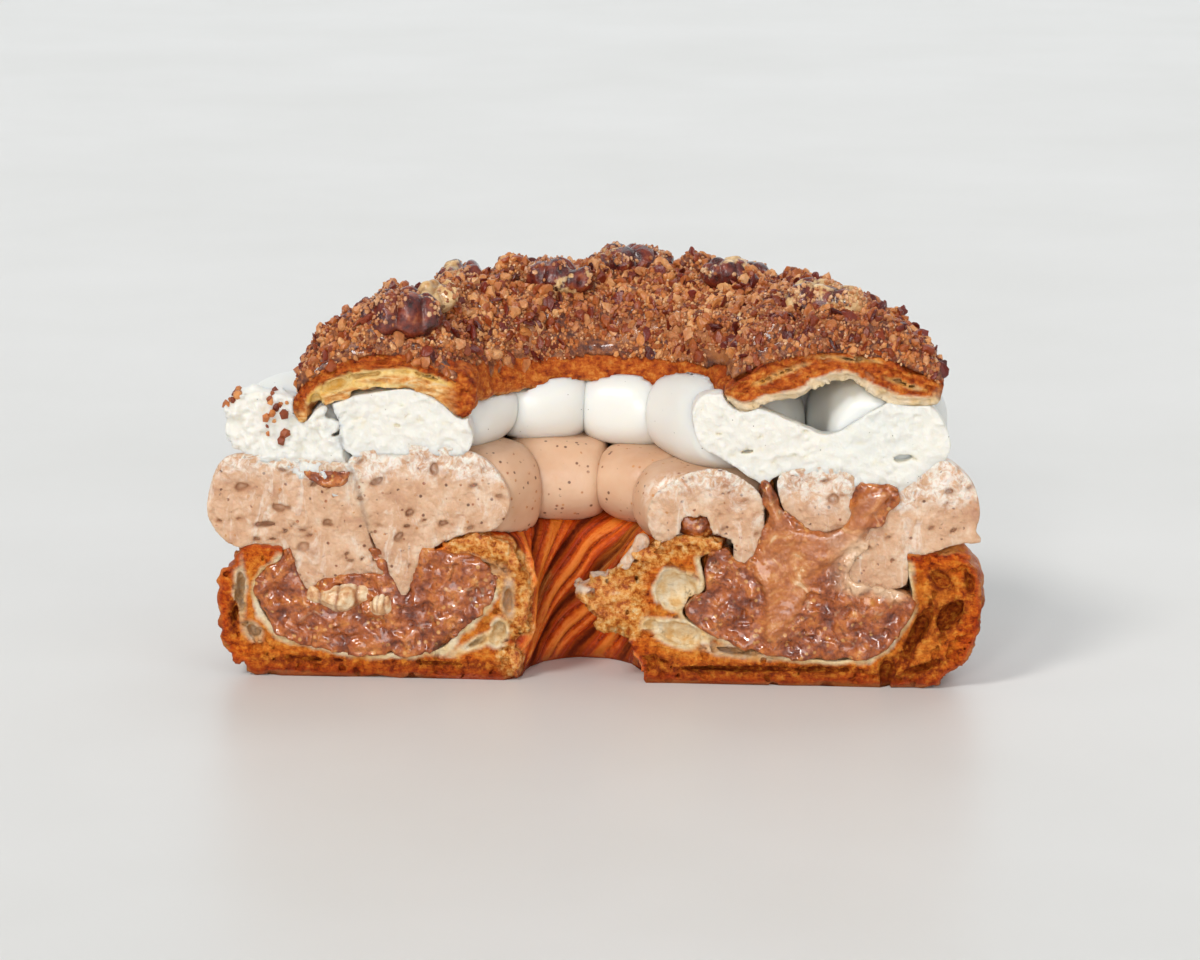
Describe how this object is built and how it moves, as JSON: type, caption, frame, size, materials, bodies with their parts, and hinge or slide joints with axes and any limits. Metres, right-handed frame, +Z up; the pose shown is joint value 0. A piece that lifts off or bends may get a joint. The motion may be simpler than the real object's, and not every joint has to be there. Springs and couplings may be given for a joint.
{
  "type": "paris brest pastry",
  "caption": "Half of a filled ring pastry, cut across: laminated base, nut praline, piped pecan and vanilla creams, pastry top with nut crumble and candied pecans.",
  "frame": {"origin": "centre of the bounding box in plan, on the surface that the pastry stands on", "axes": "+X along the cut, from the left-hand section to the right-hand one; +Y from the cut faces into the half ring; +Z up. The cut faces lie in the plane y = -half the depth and look along -Y"},
  "size_m": [0.1204, 0.0594, 0.0642],
  "materials": {
    "crust": "baked, flaky, slightly glossy on the browned ridges",
    "praline": "wet, grainy",
    "pecan_cream": "satin, whipped",
    "vanilla_cream": "satin, whipped",
    "crumble": "grainy, sticky in places",
    "candied_pecan": "glossy sugar coat",
    "kernel": "cut nut"
  },
  "bodies": {
    "root": {"base_ring": "crust", "praline_filling": "praline", "pecan_in_praline": "kernel", "pecan_cream_lump": "pecan_cream", "pecan_cream_inner_1": "pecan_cream", "pecan_cream_inner_2": "pecan_cream", "pecan_cream_inner_3": "pecan_cream", "pecan_cream_inner_4": "pecan_cream", "pecan_cream_inner_5": "pecan_cream", "pecan_cream_inner_6": "pecan_cream", "pecan_cream_outer_1": "pecan_cream", "pecan_cream_outer_2": "pecan_cream", "pecan_cream_outer_3": "pecan_cream", "pecan_cream_outer_4": "pecan_cream", "pecan_cream_outer_5": "pecan_cream", "pecan_cream_outer_6": "pecan_cream", "pecan_cream_outer_7": "pecan_cream", "pecan_cream_outer_8": "pecan_cream", "pecan_cream_outer_9": "pecan_cream", "pecan_cream_outer_10": "pecan_cream", "vanilla_cream_inner_1": "vanilla_cream", "vanilla_cream_inner_2": "vanilla_cream", "vanilla_cream_inner_3": "vanilla_cream", "vanilla_cream_inner_4": "vanilla_cream", "vanilla_cream_inner_5": "vanilla_cream", "vanilla_cream_inner_6": "vanilla_cream", "vanilla_cream_outer_1": "vanilla_cream", "vanilla_cream_outer_2": "vanilla_cream", "vanilla_cream_outer_3": "vanilla_cream", "vanilla_cream_outer_4": "vanilla_cream", "vanilla_cream_outer_5": "vanilla_cream", "vanilla_cream_outer_6": "vanilla_cream", "vanilla_cream_outer_7": "vanilla_cream", "vanilla_cream_outer_8": "vanilla_cream", "vanilla_cream_outer_9": "vanilla_cream", "vanilla_cream_outer_10": "vanilla_cream", "pastry_top": "crust", "nut_crumble": "crumble", "pecan_1": "candied_pecan", "pecan_2": "candied_pecan", "pecan_3": "candied_pecan", "pecan_4": "candied_pecan", "pecan_5": "candied_pecan", "pecan_6": "candied_pecan", "pecan_7": "candied_pecan", "pecan_8": "candied_pecan", "pecan_9": "candied_pecan"}
  },
  "joints": []
}
